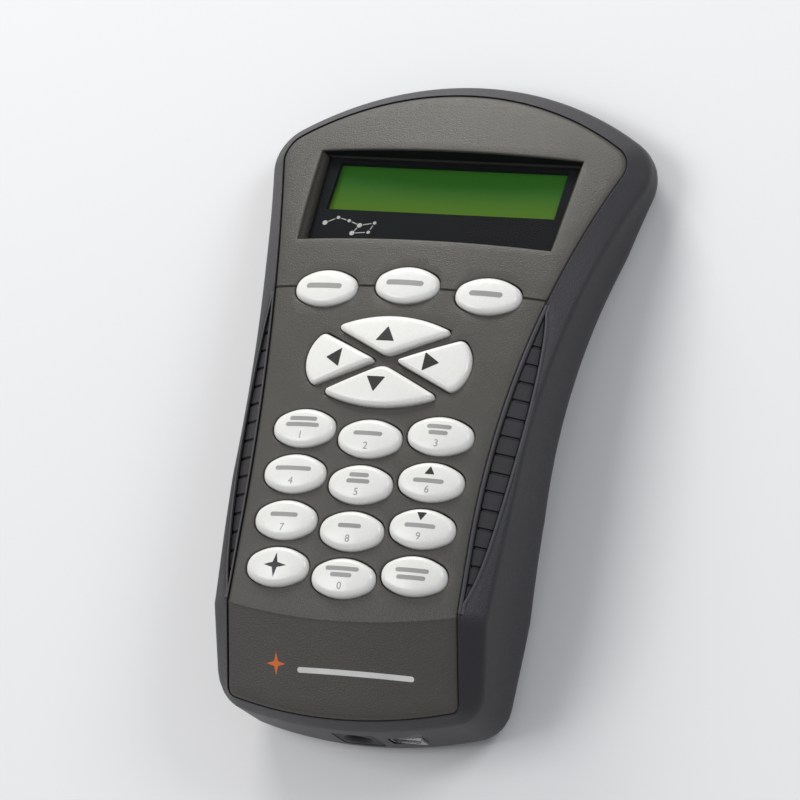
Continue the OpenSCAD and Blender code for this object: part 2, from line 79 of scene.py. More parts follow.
CREST_Z = 33
CREST_Y = -38.35
CREASE_Y = -54
FACE_R = 294
CROWN_R = 242
PANEL_TILT = math.radians(24.8)
PANEL_R = 140
FACE_T = 2.4
CREASE_SOFTNESS = 0.08
RIDGE_H = 0.1
RIDGE_HALF = 0.28
GROOVE_Y = 22.4
GROOVE_R = 586
GROOVE_HALF = 0.32
GROOVE_DEPTH = 0.45

WALL = 2.2
SEAM = 0.12
LEDGE = 0.3
BEVEL_DROP = 4.5
FOOT_R = 6.5
FLOOR_INSET = 6.8
PALM_Y = -3.5
PALM_HALF = 41.5
PALM_DEPTH = 5

COL_PITCH = 16
ROW_PITCH = 10.45
ROW_Y = -11.75
MIDDLE_DROP = 1.68
TOP_KEY_X = 19.15
TOP_KEY_Y = 21.35
ENTER_RISE = 1.45
KEY_LEN = 15
KEY_H = 8.7
KEY_END_R = 3.2
KEY_GAP = 0.25
KEY_RISE = 1.57
KEY_DOME_R = 30
PAD_LEN = 38.8
PAD_H = 21.2
PAD_END_R = 8
PAD_GAP = 2
PAD_CROSS = 25
PAD_Y = 4.5
PAD_RISE = 2.1
PAD_DOME_R = 90
CAP_DEPTH = 3.9
CAP_EDGE_R = 1.3
PAD_EDGE_R = 1.1
OVAL_POINTS = 72
MARK_RISE = 0.025
MARK_DEPTH = 0.08
NUMERAL_SIZE = 2.3

BOARD_ORIGIN = (0, -12, 22)
BOARD_TILT = 5
LENS_ORIGIN = (0, 44.33, 16.97)
LENS_TILT = 16.4
WINDOW_HALF = (29.15, 30.3)
WINDOW_H = 23.6
WINDOW_SLOPE = 0.5
WINDOW_STEPS = (40, 16, 40, 16)

GRIP_ENDS = (20, -49)
GRIP_W = 4.75
GRIP_NEAR = 0.65
GRIP_SHOW = 0.75
POCKET_DEPTH = 1.95
GRIP_RIBS = 14
FIRST_RIB_Y = 11
RIB_PITCH = 4.2

PORT_Z = 11.2
USB_X = 11.5
INLET_R = 2.7
# gland and its flange: half their width and height
GLAND_HALF = (4.8, 4.3)
FLANGE_HALF = (5.8, 5.3)
GLAND_LEN = 9
# rating plate: half its width, and where it starts and ends
PLATE = (20, 44, 62)
PLATE_Z = 0.5
RECESS_R = 2.8
BOSS_R = 3.1


# ---- outlines ----


def arc(c, r, a, b, n):
    """Points of an arc round c from angle a to b, in degrees, without the last point."""
    t = np.radians(a + (b - a) * np.arange(n) / n)
    return np.column_stack([c[0] + r * np.cos(t), c[1] + r * np.sin(t)])


def bearing(q, p):
    """Direction of p seen from q, in degrees."""
    return math.degrees(math.atan2(p[1] - q[1], p[0] - q[0]))


def inset(o, d):
    """Outline o drawn in by d."""
    x, y, flare, top, top_r, corner, end_x, end, end_r, end_corner = o
    return [x - d, y, flare + d, top - d, top_r - d, corner - d, end_x - d, end + d, end_r - d,
            max(0.4, end_corner - d)]


def corner_centre(o):
    """Centre of the head's corner arc, which touches the end arc and the flare."""
    t = np.array([0, o[3] - o[4]])
    s = np.array([o[0] + o[2], o[1]])
    rt, rs = o[4] - o[5], o[2] + o[5]
    gap = np.linalg.norm(s - t)
    along = (rt * rt - rs * rs + gap * gap) / (2 * gap)
    across = math.sqrt(rt * rt - along * along)
    d = (s - t) / gap
    return t + along * d + across * np.array([-d[1], d[0]])


def outline(o):
    """Closed outline, clockwise from the middle of the head. Every outline has the same number of points."""
    t, c = (0, o[3] - o[4]), corner_centre(o)
    s, e = (o[0] + o[2], o[1]), (0, o[7] + o[8])
    corner_x = o[6] - o[9]
    corner_y = e[1] - math.sqrt((o[8] - o[9]) ** 2 - corner_x ** 2)
    b = (corner_x, corner_y)
    waist, foot = np.array(o[:2]), np.array([o[6], corner_y])
    straight = waist + (foot - waist) * (np.arange(6 * FINE) / (6 * FINE))[:, None]
    half = np.vstack([
        arc(t, o[4], 90, bearing(t, c), 8 * FINE),
        arc(c, o[5], bearing(t, c), bearing(c, s), 6 * FINE),
        arc(s, o[2], bearing(s, c), 180, 14 * FINE),
        straight,
        arc(b, o[9], 0, bearing(e, b), 4 * FINE),
        arc(e, o[8], bearing(e, b), -90, 5 * FINE),
        [[0, o[7]]],
    ])
    return np.vstack([half, half[-2:0:-1] * [-1, 1]])


def circle(x, y, r, n):
    """Closed circle round a point, anticlockwise."""
    return arc((x, y), r, 0, 360, n)


def oval(length, height, end_r, n):
    """An oval of four arcs, anticlockwise."""
    a, b = length / 2, height / 2
    r = ((a - end_r) ** 2 + b * b - end_r * end_r) / (2 * (b - end_r))
    turn = bearing((0, b - r), (a - end_r, 0))
    k = n // 4
    return np.vstack([
        arc((a - end_r, 0), end_r, -turn, turn, k),
        arc((0, b - r), r, turn, 180 - turn, k),
        arc((end_r - a, 0), end_r, 180 - turn, 180 + turn, k),
        arc((0, r - b), r, 180 + turn, 360 - turn, k),
    ])


def offset(loop, d):
    """A closed loop moved out by d."""
    ahead = np.roll(loop, -1, 0) - np.roll(loop, 1, 0)
    normal = np.column_stack([ahead[:, 1], -ahead[:, 0]])
    normal /= np.linalg.norm(normal, axis=1)[:, None]
    return loop + d * normal * np.sign(area(loop))


def area(loop):
    """Area of a closed loop, positive where it runs anticlockwise."""
    x, y = loop[:, 0], loop[:, 1]
    return 0.5 * np.sum(x * np.roll(y, -1) - y * np.roll(x, -1))


def rounded(corners, radii, steps=6):
    """A closed polygon with each corner rounded to its radius. A radius of 0 keeps the point as it is."""
    corners = np.array(corners, float)
    points = []
    for i, p in enumerate(corners):
        if radii[i] == 0:
            points.append(p)
            continue
        back, ahead = corners[i - 1] - p, corners[(i + 1) % len(corners)] - p
        back, ahead = back / np.linalg.norm(back), ahead / np.linalg.norm(ahead)
        half = math.acos(np.clip(back @ ahead, -1, 1)) / 2
        start, stop = p + back * radii[i] / math.tan(half), p + ahead * radii[i] / math.tan(half)
        centre = p + (back + ahead) / np.linalg.norm(back + ahead) * radii[i] / math.sin(half)
        a, b = bearing(centre, start), bearing(centre, stop)
        b = a + (b - a + 180) % 360 - 180
        points.extend(arc(centre, radii[i], a, b, steps))
        points.append(stop)
    return np.array(points)


def rounded_box(half, low, high, corner_r, steps):
    """A rounded rectangle with half its width on each side of the axis, from low to high."""
    return rounded([(-half, low), (half, low), (half, high), (-half, high)], [corner_r] * 4, steps)


def dense(loop, step):
    """A closed loop with its long sides cut into steps."""
    points = []
    for p, q in zip(loop, np.roll(loop, -1, 0)):
        n = max(1, round(np.linalg.norm(q - p) / step))
        points.extend(p + (q - p) * i / n for i in range(n))
    return np.array(points)


def pad_quarter(direction, grow=0.0):
    """The quarter of the direction pad that a direction key fills, with rounded corners."""
    wide = direction in ("left", "right")
    half_angle = PAD_CROSS if wide else 90 - PAD_CROSS
    heading = {"right": 0, "up": 90, "left": 180, "down": 270}[direction]
    tip = (PAD_GAP / 2 - grow) / math.sin(math.radians(half_angle))
    edge = oval(PAD_LEN + 2 * grow, PAD_H + 2 * grow, PAD_END_R + grow, 240)
    turn = math.radians(-heading)
    spin = np.array([[math.cos(turn), -math.sin(turn)], [math.sin(turn), math.cos(turn)]])
    edge = edge @ spin.T
    slope = math.tan(math.radians(half_angle))
    inside = (edge[:, 0] > tip) & (np.abs(edge[:, 1]) < (edge[:, 0] - tip) * slope)
    rim = edge[inside]
    rim = rim[np.argsort(np.arctan2(rim[:, 1], rim[:, 0]))]
    corner_r = 1.6 if wide else 0.8
    keep = np.abs(rim[:, 1]) < np.abs(rim[:, 1]).max() - corner_r * (0.55 if wide else 1.5)
    low, high = rim[0], rim[-1]
    shape = [(tip, 0), low, *rim[keep], high]
    radii = [0.5 + grow if wide else 4 + grow, corner_r + grow, *[0] * keep.sum(), corner_r + grow]
    return dense(rounded(shape, radii), 0.7) @ spin


# ---- the face ----


def crown(x, r):
    """Drop of an arc of radius r at a distance x from its crest."""
    return r - np.sqrt(r * r - x * x)


def face_z(x, y):
    """Height of the face, with a soft crease and a fine ridge above the lower panel."""
    curve = FACE_R - crown(x, CROWN_R)
    main = CREST_Z - FACE_R + np.sqrt(curve ** 2 - np.maximum(0, y - CREST_Y) ** 2)
    panel = CREST_Z + (y - CREASE_Y) * math.tan(PANEL_TILT) - crown(x, PANEL_R) / math.cos(PANEL_TILT)
    ridge = RIDGE_H * np.exp(-((y - crease_y(x)) / RIDGE_HALF) ** 2)
    return (main + panel - np.sqrt((main - panel) ** 2 + CREASE_SOFTNESS ** 2)) / 2 + ridge


def crease_y(x):
    """Where the lower panel meets the rest of the face."""
    drop = crown(x, PANEL_R) / math.cos(PANEL_TILT) - crown(x, CROWN_R)
    return CREASE_Y + drop / math.tan(PANEL_TILT)


def groove_y(x):
    """Middle of the fine groove that runs across the face through the upper keys."""
    return GROOVE_Y - x ** 2 / (2 * GROOVE_R)


def fillet(d, r):
    """Drop of a rounded edge of radius r at distance d from it."""
    t = np.clip(r - d, 0, r)
    return r - np.sqrt(r * r - t * t)


def distance(points, loop):
    """Distance of each point from a closed loop."""
    a, b = loop, np.roll(loop, -1, 0)
    ab = b - a
    best = np.full(len(points), np.inf)
    for start, along in zip(a, ab):
        t = np.clip(((points - start) @ along) / max(along @ along, 1e-12), 0, 1)
        best = np.minimum(best, np.linalg.norm(points - start - t[:, None] * along, axis=1))
    return best


def inside(points, loop):
    """Which points lie inside a closed loop."""
    x, y = points[:, 0], points[:, 1]
    found = np.zeros(len(points), bool)
    for (x0, y0), (x1, y1) in zip(loop, np.roll(loop, -1, 0)):
        if y0 != y1:
            crossing = (y0 > y) != (y1 > y)
            found ^= crossing & (x < (x1 - x0) * (y - y0) / (y1 - y0) + x0)
    return found


def staggered_grid(low, high, spacing):
    """Points of a grid of triangles over a rectangle."""
    rows = []
    for row, y in enumerate(np.arange(low[1], high[1], spacing * 0.87)):
        xs = np.arange(low[0] + (row % 2) * spacing / 2, high[0], spacing)
        rows.append(np.column_stack([xs, np.full(len(xs), y)]))
    return np.vstack(rows)


# ---- meshes ----

SHARP = 38


class Solid:
    """Collects points in millimetres and faces, then becomes an object in metres."""

    def __init__(self):
        self.points = []
        self.faces = []

    def loop(self, xy, z):
        """Adds a loop of points at height z, one number or one for each point, and gives their numbers."""
        start = len(self.points)
        z = np.broadcast_to(z, len(xy))
        self.points.extend((p[0], p[1], h) for p, h in zip(xy, z))
        return list(range(start, len(self.points)))

    def bridge(self, a, b):
        """Joins two closed loops, given as point numbers, with a band of quads."""
        for i in range(len(a)):
            j = (i + 1) % len(a)
            self.faces.append((a[i], a[j], b[j], b[i]))

    def loft(self, rings):
        """Joins closed rings of points, each an array of [x, y, z], and gives their numbers."""
        numbers = [self.loop(r[:, :2], r[:, 2]) for r in rings]
        for a, b in zip(numbers, numbers[1:]):
            self.bridge(a, b)
        return numbers

    def cap(self, numbers):
        """Closes a loop with one face."""
        self.faces.append(tuple(numbers))

    def fill(self, outer, holes, height, spacing, rings=(), lines=()):
        """Fills the area inside outer and outside the holes with triangles at height(xy), and gives the
        point numbers of outer and of each hole. rings and lines are further loops and lines it follows."""
        loops = [outer, *holes]
        flat = [*loops, *rings]
        edges, count = [], 0
        for ring in flat:
            n = len(ring)
            edges += [(count + i, count + (i + 1) % n) for i in range(n)]
            count += n
        for line in lines:
            edges += [(count + i, count + i + 1) for i in range(len(line) - 1)]
            count += len(line)
        fixed = np.vstack([*flat, *lines])
        grid = staggered_grid(outer.min(0), outer.max(0), spacing)
        grid = grid[inside(grid, outer)]
        for ring in flat:
            grid = grid[distance(grid, ring) > spacing * 0.45]
        for hole in holes:
            grid = grid[~inside(grid, hole)]
        for line in lines:
            near = np.abs(grid[:, 1] - np.interp(grid[:, 0], line[:, 0], line[:, 1]))
            grid = grid[near > spacing * 0.4]
        every = [Vector(p) for p in np.vstack([fixed, grid])]
        verts, _, faces, origin, _, _ = delaunay_2d_cdt(every, edges, [], 0, 1e-5)
        xy = np.array([v[:] for v in verts])
        tri = np.array([f for f in faces if len(f) == 3])
        middle = xy[tri].mean(1)
        keep = inside(middle, outer)
        for hole in holes:
            keep &= ~inside(middle, hole)
        tri = tri[keep]
        made = {s: i for i, sources in enumerate(origin) for s in sources}
        rims = [made[i] for i in range(sum(len(ring) for ring in loops))]
        used = np.unique([*tri.ravel(), *rims])
        numbers = dict(zip(used.tolist(), self.loop(xy[used], height(xy[used]))))
        self.faces.extend(tuple(numbers[i] for i in t) for t in tri.tolist())
        result, start = [], 0
        for ring in loops:
            result.append([numbers[made[start + i]] for i in range(len(ring))])
            start += len(ring)
        return result

    def closed_loft(self, rings):
        """Joins closed rings and closes both ends."""
        numbers = self.loft(rings)
        self.cap(numbers[0])
        self.cap(numbers[-1])

    def mesh(self, name):
        """The mesh, in metres. Points at the same place become one."""
        mesh = bpy.data.meshes.new(name)
        bm = bmesh.new()
        verts = [bm.verts.new(Vector(p) * MM) for p in self.points]
        for face in self.faces:
            bm.faces.new([verts[i] for i in face])
        bmesh.ops.remove_doubles(bm, verts=bm.verts, dist=0.002 * MM)
        bmesh.ops.delete(bm, geom=[v for v in bm.verts if not v.link_faces], context="VERTS")
        bmesh.ops.recalc_face_normals(bm, faces=bm.faces)
        bm.to_mesh(mesh)
        bm.free()
        return mesh

    def make(self, name, body, slot, replaces=(), material=None, sharp=SHARP, place=None):
        """Makes the object, riding on a body in place of the CAD nodes that it replaces. Its material is
        the slot's unless another is named. Edges sharper than the angle stay sharp."""
        mesh = self.mesh(name)
        if place is not None:
            mesh.transform(place)
        finish_mesh(mesh, sharp)
        mesh.materials.append(MATERIALS[material or slot])
        piece = bpy.data.objects.new(name, mesh)
        bpy.context.scene.collection.objects.link(piece)
        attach(piece, body)
        if replaces:
            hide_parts(*replaces)
        return piece


def finish_mesh(mesh, sharp=SHARP):
    """Smooth shading, with sharp edges past an angle in degrees."""
    mesh.shade_smooth()
    mesh.set_sharp_from_angle(angle=math.radians(sharp))


def tilted(origin, degrees):
    """Matrix of a frame tipped about X, in metres."""
    return Matrix.Translation(Vector(origin) * MM) @ Matrix.Rotation(math.radians(-degrees), 4, "X")


ON_BOARD = tilted(BOARD_ORIGIN, BOARD_TILT)
ON_LENS = tilted(LENS_ORIGIN, LENS_TILT)


def to_frame(matrix, point):
    """A point in millimetres, seen from a tipped frame."""
    return np.array(matrix.inverted() @ (Vector(point) * MM)) / MM


def bevel_steps(r, steps=4):
    """Distances from an edge at which a rounded edge of radius r gets rings."""
    return [r * (1 - math.cos(math.radians(90 * i / steps))) for i in range(1, steps + 1)]


# ---- materials ----


def new_material(name, color, roughness, **values):
    """A principled material and its nodes. values are further inputs by name, with _ for a space."""
    material = bpy.data.materials.new(name)
    material.use_nodes = True
    shader = material.node_tree.nodes["Principled BSDF"]
    shader.inputs["Base Color"].default_value = (*color, 1)
    shader.inputs["Roughness"].default_value = roughness
    for key, value in values.items():
        shader.inputs[key.replace("_", " ")].default_value = value
    return material, material.node_tree, shader


def add_noise(tree, scale, detail=3):
    """Noise in the object's own coordinates."""
    coords = tree.nodes.new("ShaderNodeTexCoord")
    noise = tree.nodes.new("ShaderNodeTexNoise")
    noise.inputs["Scale"].default_value = scale
    noise.inputs["Detail"].default_value = detail
    tree.links.new(coords.outputs["Object"], noise.inputs["Vector"])
    return noise


def add_bump(tree, shader, height, strength, size):
    """Relief of the given size in millimetres."""
    bump = tree.nodes.new("ShaderNodeBump")
    bump.inputs["Strength"].default_value = strength
    bump.inputs["Distance"].default_value = size * MM
    tree.links.new(height, bump.inputs["Height"])
    tree.links.new(bump.outputs["Normal"], shader.inputs["Normal"])


def spread(tree, fac, low, high, out_low, out_high):
    """Maps a value from one range to another."""
    node = tree.nodes.new("ShaderNodeMapRange")
    for key, value in (("From Min", low), ("From Max", high), ("To Min", out_low), ("To Max", out_high)):
        node.inputs[key].default_value = value
    tree.links.new(fac, node.inputs["Value"])
    return node.outputs["Result"]


def uneven_gloss(tree, shader, noise, low, high):
    """Roughness between two values, by noise."""
    rough = spread(tree, noise.outputs["Fac"], 0.3, 0.7, low, high)
    tree.links.new(rough, shader.inputs["Roughness"])


def tint(tree, socket, fac, dark, light):
    """Colours a shader's socket between two colours by a value."""
    mix = tree.nodes.new("ShaderNodeMix")
    mix.data_type = "RGBA"
    mix.inputs["A"].default_value = (*dark, 1)
    mix.inputs["B"].default_value = (*light, 1)
    tree.links.new(fac, mix.inputs["Factor"])
    tree.links.new(mix.outputs["Result"], socket)


def textured_plastic(name, color, roughness, grain, strength, unevenness=0.12, specular=0.5):
    """Moulded plastic with a spark-eroded grain, a little uneven in colour and gloss."""
    material, tree, shader = new_material(name, color, roughness, Specular_IOR_Level=specular)
    fine = add_noise(tree, 1 / (grain * MM), 4)
    broad = add_noise(tree, 1 / (14 * MM), 3)
    dark = [c * (1 - unevenness) for c in color]
    light = [c * (1 + unevenness) for c in color]
    patches = spread(tree, broad.outputs["Fac"], 0.3, 0.7, 0, 1)
    tint(tree, shader.inputs["Base Color"], patches, dark, light)
    uneven_gloss(tree, shader, fine, roughness - 0.06, roughness + 0.08)
    add_bump(tree, shader, fine.outputs["Fac"], strength, grain)
    return material


def brushed_metal(name, color, roughness):
    """Metal with an uneven gloss."""
    material, tree, shader = new_material(name, color, roughness, Metallic=1.0)
    noise = add_noise(tree, 1 / (0.6 * MM), 2)
    uneven_gloss(tree, shader, noise, roughness - 0.08, roughness + 0.1)
    add_bump(tree, shader, noise.outputs["Fac"], 0.15, 0.02)
    return material


def board_green():
    """Solder mask with faint tracks under it."""
    material, tree, shader = new_material("board_green", (0.02, 0.14, 0.06), 0.35)
    coords = tree.nodes.new("ShaderNodeTexCoord")
    tracks = tree.nodes.new("ShaderNodeTexBrick")
    tracks.inputs["Scale"].default_value = 1 / (5 * MM)
    tracks.inputs["Mortar Size"].default_value = 0.06
    tracks.inputs["Color1"].default_value = (0.018, 0.13, 0.055, 1)
    tracks.inputs["Color2"].default_value = (0.022, 0.15, 0.065, 1)
    tracks.inputs["Mortar"].default_value = (0.05, 0.24, 0.12, 1)
    tree.links.new(coords.outputs["Object"], tracks.inputs["Vector"])
    tree.links.new(tracks.outputs["Color"], shader.inputs["Base Color"])
    add_bump(tree, shader, tracks.outputs["Fac"], 0.2, 0.04)
    return material


def display_green():
    """Faintly lit green cell: deeper along the top and yellower along the bottom."""
    material, tree, shader = new_material("display_green", (0.05, 0.17, 0.015), 0.5, Specular_IOR_Level=0.1)
    coords = tree.nodes.new("ShaderNodeTexCoord")
    split = tree.nodes.new("ShaderNodeSeparateXYZ")
    tree.links.new(coords.outputs["Object"], split.inputs["Vector"])
    bottom_y, fade_len = LENS_ORIGIN[1] - 4, 9
    down = spread(tree, split.outputs["Y"], (bottom_y + fade_len) * MM, bottom_y * MM, 0, 1)
    tint(tree, shader.inputs["Base Color"], down, (0.026, 0.125, 0.008), (0.085, 0.18, 0.006))
    tint(tree, shader.inputs["Emission Color"], down, (0.02, 0.13, 0.01), (0.14, 0.25, 0.008))
    shader.inputs["Emission Strength"].default_value = 0.2
    return material


def lens_clear():
    """Dark-tinted clear window with a polished surface."""
    material, tree, shader = new_material("lens_clear", (0.01, 0.012, 0.012), 0.06, Alpha=0.12,
                                          Specular_IOR_Level=0.25)
    noise = add_noise(tree, 1 / (20 * MM), 2)
    uneven_gloss(tree, shader, noise, 0.04, 0.09)
    return material


# moulded plastics, rubber and print: colour, roughness, grain in millimetres, strength of its relief,
# unevenness of the colour and specular level
PLASTICS = {
    "face_plastic": ((0.056, 0.051, 0.044), 0.44, 0.32, 0.35, 0.05),
    "case_plastic": ((0.0165, 0.0155, 0.02), 0.44, 0.3, 0.3, 0.05),
    # a painted highlight: lighter than the case, for the beads along the grips' edges
    "edge_highlight_plastic": ((0.05, 0.05, 0.055), 0.4, 0.3, 0.2, 0.05),
    "grip_rubber": ((0.015, 0.0145, 0.018), 0.55, 0.2, 0.25),
    "key_white": ((0.78, 0.775, 0.74), 0.26, 1.6, 0.03, 0.015),
    "key_print": ((0.30, 0.30, 0.29), 0.5, 0.5, 0.05),
    "arrow_print": ((0.012, 0.012, 0.012), 0.45, 0.5, 0.05),
    "panel_mark": ((0.62, 0.62, 0.6), 0.4, 0.5, 0.05),
    "spark_mark": ((0.62, 0.13, 0.02), 0.4, 0.5, 0.05),
    "black_plastic": ((0.007, 0.0075, 0.009), 0.62, 0.4, 0.05, 0.12, 0.1),
    "chip_black": ((0.02, 0.02, 0.02), 0.5, 0.3, 0.2),
    "light_white": ((0.8, 0.85, 0.75), 0.4, 0.5, 0.05),
    "ribbon_grey": ((0.35, 0.36, 0.38), 0.45, 0.6, 0.1),
    "socket_ivory": ((0.8, 0.78, 0.7), 0.45, 0.4, 0.1),
    "part_tan": ((0.6, 0.45, 0.2), 0.4, 0.4, 0.1),
    "mat_rubber": ((0.5, 0.52, 0.54), 0.6, 0.4, 0.1),
    "gland_rubber": ((0.014, 0.014, 0.015), 0.62, 0.25, 0.25),
    "plate_silver": ((0.42, 0.43, 0.44), 0.35, 0.35, 0.1),
}
# metals: colour and roughness
METALS = {
    "screw_steel": ((0.6, 0.6, 0.62), 0.32),
    "socket_metal": ((0.6, 0.61, 0.62), 0.3),
    "contact_gold": ((0.8, 0.58, 0.22), 0.28),
}
MATERIALS = {
    **{name: textured_plastic(name, *look) for name, look in PLASTICS.items()},
    **{name: brushed_metal(name, *look) for name, look in METALS.items()},
    "board_green": board_green(),
    "display_green": display_green(),
    "lens_clear": lens_clear(),
}


def paint_cad_nodes():
    """Gives every CAD node the material of its slot."""
    for row in frame["record"]["subparts"]:
        mesh = frame["nodes"][row["node"]].data
        mesh.materials.clear()
        mesh.materials.append(MATERIALS[row["material_slot"]])


# ---- keys ----


def grid_keys():
    """Names and places of the keys in the four rows."""
    rows = [("1", "2", "3"), ("4", "5", "6"), ("7", "8", "9"), ("option", "0", "speed")]
    for r, row in enumerate(rows):
        for c, name in enumerate(row):
            drop = MIDDLE_DROP if c == 1 else 0
            yield name, (c - 1) * COL_PITCH, ROW_Y - r * ROW_PITCH - drop


OVAL_KEYS = [
    ("align", -TOP_KEY_X, TOP_KEY_Y),
    ("enter", 0, TOP_KEY_Y + ENTER_RISE),
    ("back", TOP_KEY_X, TOP_KEY_Y),
    *grid_keys(),
]


class Dome:
    """The domed top of a key or of the direction pad, in the main board's frame."""

    def __init__(self, x, y, rise, radius):
        z = float(face_z(x, y))
        normal = np.array([x / CROWN_R, max(0, y - CREST_Y) / FACE_R, 1])
        normal /= np.linalg.norm(normal)
        point = np.array([x, y, z])
        self.radius = radius
        self.centre = to_frame(ON_BOARD, point + normal * (rise - radius))
        self.face = to_frame(ON_BOARD, point)

    def top(self, xy):
        """Height of the dome."""
        flat = ((xy - self.centre[:2]) ** 2).sum(1)
        return self.centre[2] + np.sqrt(self.radius ** 2 - flat)


def key_cap(name, loop, dome, edge_r):
    """A cap with a domed top, a soft rounded edge and straight sides."""
    solid = Solid()
    rings = [offset(loop, -d) for d in bevel_steps(edge_r, 5)]

    def height(xy):
        return dome.top(xy) - fillet(distance(xy, loop), edge_r)

    top = solid.fill(loop, [], height, 1.1, rings)[0]
    under = solid.loop(loop, dome.face[2] - CAP_DEPTH)
    solid.bridge(top, under)
    solid.cap(under)
    node = "key_" + name
    solid.make(node + "_cap", node, "key_white", [node], place=ON_BOARD)


def decal(name, loops, height, body, slot, place, spacing=0.9):
    """Thin printed marks that follow a surface, each loop a closed area."""
    solid = Solid()
    for loop in loops:
        top = solid.fill(loop, [], lambda xy: height(xy) + MARK_RISE, spacing)[0]
        under = solid.fill(loop, [], lambda xy: height(xy) - MARK_DEPTH, spacing)[0]
        solid.bridge(top, under)
    solid.make(name, body, slot, place=place)


def bar(x, y, length, height):
    """A bar with round ends, which stands for a printed word."""
    r = height / 2
    return dense(np.vstack([
        arc((x + length / 2 - r, y), r, -90, 90, 6), [[x + length / 2 - r, y + r]],
        arc((x - length / 2 + r, y), r, 90, 270, 6), [[x - length / 2 + r, y - r]],
    ]), 0.5)


def triangle(x, y, size, heading):
    """A slightly rounded triangle that points to a heading, in degrees."""
    t = math.radians(heading)
    ahead, side = np.array([math.cos(t), math.sin(t)]), np.array([-math.sin(t), math.cos(t)])
    c = np.array([x, y])
    corners = [c + ahead * size * 0.42, c - ahead * size * 0.38 + side * size * 0.5,
               c - ahead * size * 0.38 - side * size * 0.5]
    return dense(rounded(corners, [0.12] * 3, 3), 0.6)


def star(x, y, size, points=4, waist=0.3):
    """A star with pointed rays."""
    ring = []
    for i in range(2 * points):
        r = size if i % 2 == 0 else size * waist
        a = math.radians(90 + 180 * i / points)
        ring.append((x + r * math.cos(a), y + r * math.sin(a)))
    return dense(np.array(ring), 0.5)


def numeral_mesh(text, size):
    """Flat outline mesh of a numeral, centred on the origin, in millimetres."""
    curve = bpy.data.curves.new("numeral", "FONT")
    curve.body = text
    curve.size = size
    curve.align_x, curve.align_y = "CENTER", "CENTER"
    curve.resolution_u = 3
    holder = bpy.data.objects.new("numeral", curve)
    bpy.context.scene.collection.objects.link(holder)
    bpy.context.view_layer.update()
    mesh = bpy.data.meshes.new_from_object(holder.evaluated_get(bpy.context.evaluated_depsgraph_get()))
    bpy.data.objects.remove(holder)
    points = [v.co[:2] for v in mesh.vertices]
    faces = [tuple(p.vertices) for p in mesh.polygons]
    bpy.data.meshes.remove(mesh)
    return np.array(points), faces


def numeral(name, text, x, y, height, body):
    """A printed numeral that follows a key's top."""
    points, faces = numeral_mesh(text, NUMERAL_SIZE)
    xy = points + [x, y]
    solid = Solid()
    top = solid.loop(xy, height(xy) + MARK_RISE)
    under = solid.loop(xy, height(xy) - MARK_DEPTH)
    for f in faces:
        solid.faces.append(tuple(top[i] for i in f))
        solid.faces.append(tuple(under[i] for i in reversed(f)))
    count = Counter(frozenset(edge) for f in faces for edge in zip(f, f[1:] + f[:1]))
    for a, b in [tuple(edge) for edge, n in count.items() if n == 1]:
        solid.faces.append((top[a], top[b], under[b], under[a]))
    solid.make(name, body, "key_print", place=ON_BOARD)


# printed bars on each key: (rise over the key's middle, length)
WORDS = {
    "align": [(0.1, 8.6)], "enter": [(0.1, 8.8)], "back": [(0.1, 7.6)],
    "1": [(1.75, 6.6), (0.35, 8)], "2": [(0.8, 6.8)], "3": [(1.75, 5.6), (0.35, 4.4)],
    "4": [(0.8, 8.6)], "5": [(1.75, 4.6), (0.35, 5.4)], "6": [(-0.1, 7)],
    "7": [(0.8, 6.6)], "8": [(0.8, 5.4)], "9": [(0.3, 7)],
    "0": [(1.75, 7.8), (0.35, 5)], "speed": [(0.85, 7.6), (-0.75, 6.6)],
}
# scroll arrows on the oval keys: (rise over the key's middle, heading)
SCROLL_ARROWS = {"6": (2.2, 90), "9": (2.4, -90)}
# arrows on the direction keys: (offset from the pad's middle, heading)
PAD_ARROWS = {
    "up": ((-0.8, 5.9), 90), "down": ((-0.8, -5.9), -90),
    "left": ((-12.2, 0), 180), "right": ((10.9, 0), 0),
}


def build_oval_key(name, x, y):
    """An oval key with its printed marks."""
    dome = Dome(x, y, KEY_RISE, KEY_DOME_R)
    centre = dome.face[:2]
    node = "key_" + name
    key_cap(name, oval(KEY_LEN, KEY_H, KEY_END_R, OVAL_POINTS) + centre, dome, CAP_EDGE_R)
    bar_h = 1.25 if name in ("align", "enter", "back") else 0.95
    words = [bar(centre[0], centre[1] + v, length, bar_h) for v, length in WORDS.get(name, [])]
    if words:
        decal(node + "_words", words, dome.top, node, "key_print", ON_BOARD)
    if name.isdigit():
        numeral(node + "_numeral", name, centre[0], centre[1] - 2.1, dome.top, node)
    if name in SCROLL_ARROWS:
        rise, heading = SCROLL_ARROWS[name]
        mark = triangle(centre[0], centre[1] + rise, 2.3, heading)
        decal(node + "_arrow", [mark], dome.top, node, "arrow_print", ON_BOARD)
    if name == "option":
        decal(node + "_star", [star(*centre, 2.7)], dome.top, node, "arrow_print", ON_BOARD, 0.5)


def build_pad_key(direction):
    """A direction key with its arrow."""
    dome = Dome(0, PAD_Y, PAD_RISE, PAD_DOME_R)
    centre = dome.face[:2]
    node = "key_" + direction
    key_cap(direction, pad_quarter(direction) + centre, dome, PAD_EDGE_R)
    place, heading = PAD_ARROWS[direction]
    mark = triangle(*(centre + place), 4.4, heading)
    decal(node + "_arrow", [mark], dome.top, node, "arrow_print", ON_BOARD)


# ---- front shell ----


